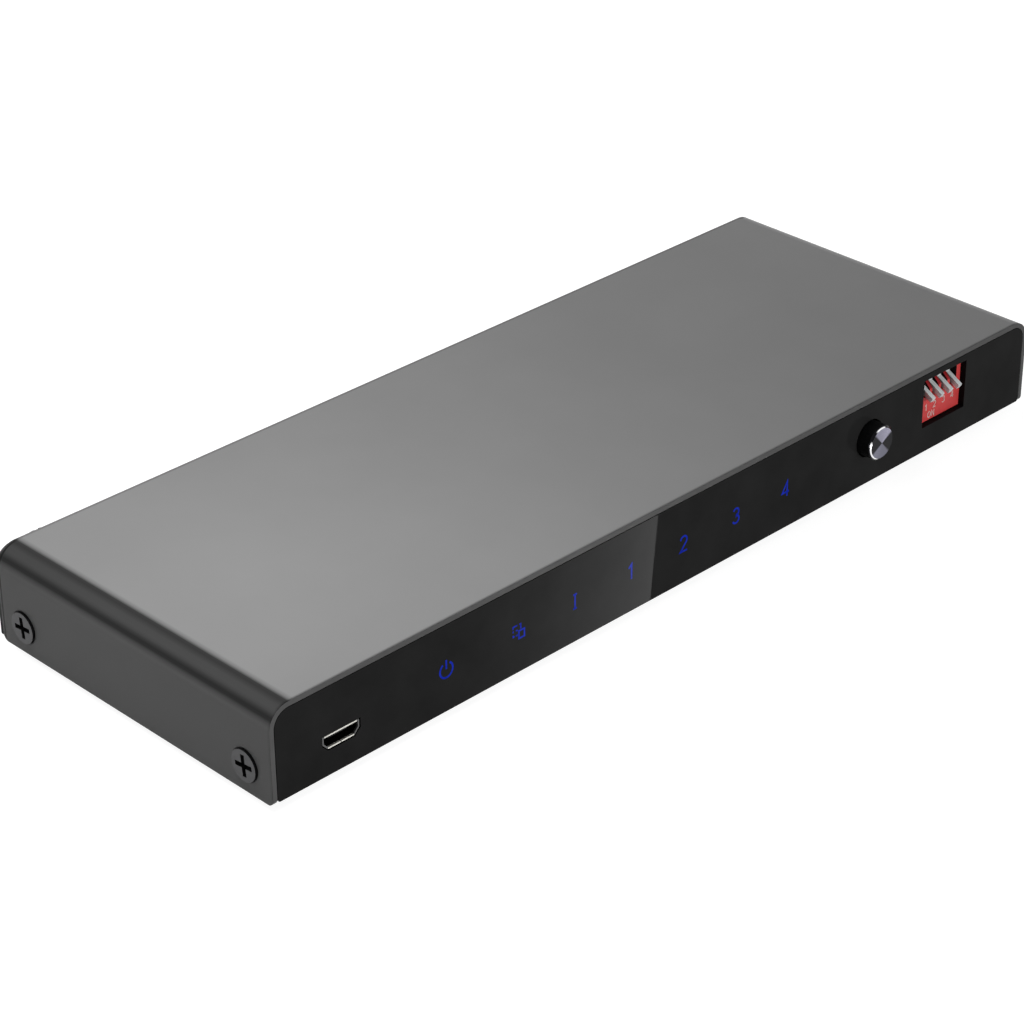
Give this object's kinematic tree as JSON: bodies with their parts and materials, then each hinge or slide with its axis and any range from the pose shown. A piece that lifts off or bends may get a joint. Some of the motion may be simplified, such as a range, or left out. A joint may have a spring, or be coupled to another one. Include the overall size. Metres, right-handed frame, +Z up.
{
  "type": "video splitter",
  "caption": "Flat metal box that copies one video input to several outputs, with sockets and a power jack at the back, and a button, toggle levers, lit marks and a service port at the front.",
  "frame": {"origin": "under the middle of the whole object, on the surface that its feet stand on", "axes": "+Z up, +X along the width to the right when facing the front, -Y out of the front panel"},
  "size_m": [0.1858, 0.0766, 0.0185],
  "materials": {
    "cover_grey": "grey anodised, fine grain",
    "tray_black": "black powder coat",
    "panel_gloss": "polished black acrylic",
    "tape_grey": "adhesive foam",
    "rear_black": "black powder coat",
    "screw_dark": "dark plated",
    "foot_rubber": "matt",
    "board_green": "solder mask",
    "standoff_brass": "plain",
    "screw_bright": "plated",
    "shell_nickel": "nickel plated",
    "insulator_black": "moulded",
    "contact_gold": "gold plated",
    "jack_contact": "nickel plated",
    "collar_nickel": "nickel plated",
    "block_red": "moulded",
    "lever_white": "moulded",
    "pin_tin": "tin plated",
    "button_metal": "turned, black anodised",
    "plunger_white": "moulded",
    "spring_steel": "wire",
    "switch_black": "moulded",
    "led_blue": "lit",
    "guide_blue": "lit, clear",
    "holder_black": "moulded",
    "chip_black": "moulded",
    "pad_grey": "soft",
    "sink_black": "black anodised",
    "can_metal": "plain",
    "ferrite": "moulded"
  },
  "bodies": {
    "case": {"base_tray": "tray_black", "board_screws": "screw_bright", "board_standoffs": "standoff_brass", "bulk_capacitors": "can_metal", "button_spring": "spring_steel", "control_chip": "chip_black", "cover_screws": "screw_dark", "crystal": "can_metal", "dip_body": "block_red", "dip_pins": "pin_tin", "front_panel": "panel_gloss", "hdmi_input_contacts": "contact_gold", "hdmi_input_insulator": "insulator_black", "hdmi_input_shell": "shell_nickel", "hdmi_output_1_contacts": "contact_gold", "hdmi_output_1_insulator": "insulator_black", "hdmi_output_1_shell": "shell_nickel", "hdmi_output_2_contacts": "contact_gold", "hdmi_output_2_insulator": "insulator_black", "hdmi_output_2_shell": "shell_nickel", "hdmi_output_3_contacts": "contact_gold", "hdmi_output_3_insulator": "insulator_black", "hdmi_output_3_shell": "shell_nickel", "hdmi_output_4_contacts": "contact_gold", "hdmi_output_4_insulator": "insulator_black", "hdmi_output_4_shell": "shell_nickel", "heat_sink": "sink_black", "indicator_leds": "led_blue", "light_guides": "guide_blue", "light_holder": "holder_black", "main_board": "board_green", "output_chips": "chip_black", "panel_tape": "tape_grey", "power_inductors": "ferrite", "power_jack_body": "insulator_black", "power_jack_collar": "collar_nickel", "power_jack_nut": "collar_nickel", "power_jack_pin": "jack_contact", "power_jack_spring": "jack_contact", "push_switch_back": "switch_black", "push_switch_body": "switch_black", "push_switch_pins": "pin_tin", "rear_panel": "rear_black", "rubber_feet": "foot_rubber", "splitter_chip": "chip_black", "thermal_pad": "pad_grey", "top_cover": "cover_grey", "usb_contacts": "contact_gold", "usb_insulator": "insulator_black", "usb_shell": "shell_nickel"},
    "button": {"button_cap": "button_metal", "switch_plunger": "plunger_white"},
    "dip_lever_1": {"dip_lever_1": "lever_white"},
    "dip_lever_2": {"dip_lever_2": "lever_white"},
    "dip_lever_3": {"dip_lever_3": "lever_white"},
    "dip_lever_4": {"dip_lever_4": "lever_white"}
  },
  "joints": [
    {"name": "button_press", "type": "slide", "parent": "case", "child": "button", "axis": [0, 1, 0], "range_m": [0, 0.0015], "stiffness_N_per_m": 800, "springref_m": -0.0006, "deforming": ["button_spring"]},
    {"name": "dip_lever_1_flip", "type": "hinge", "parent": "case", "child": "dip_lever_1", "pos_m": [0.06474, -0.0324, 0.01385], "axis": [-1, 0, 0], "range_deg": [0, 54]},
    {"name": "dip_lever_2_flip", "type": "hinge", "parent": "case", "child": "dip_lever_2", "pos_m": [0.06728, -0.0324, 0.01385], "axis": [-1, 0, 0], "range_deg": [0, 54]},
    {"name": "dip_lever_3_flip", "type": "hinge", "parent": "case", "child": "dip_lever_3", "pos_m": [0.06982, -0.0324, 0.01385], "axis": [-1, 0, 0], "range_deg": [0, 54]},
    {"name": "dip_lever_4_flip", "type": "hinge", "parent": "case", "child": "dip_lever_4", "pos_m": [0.07236, -0.0324, 0.01385], "axis": [-1, 0, 0], "range_deg": [0, 54]}
  ]
}
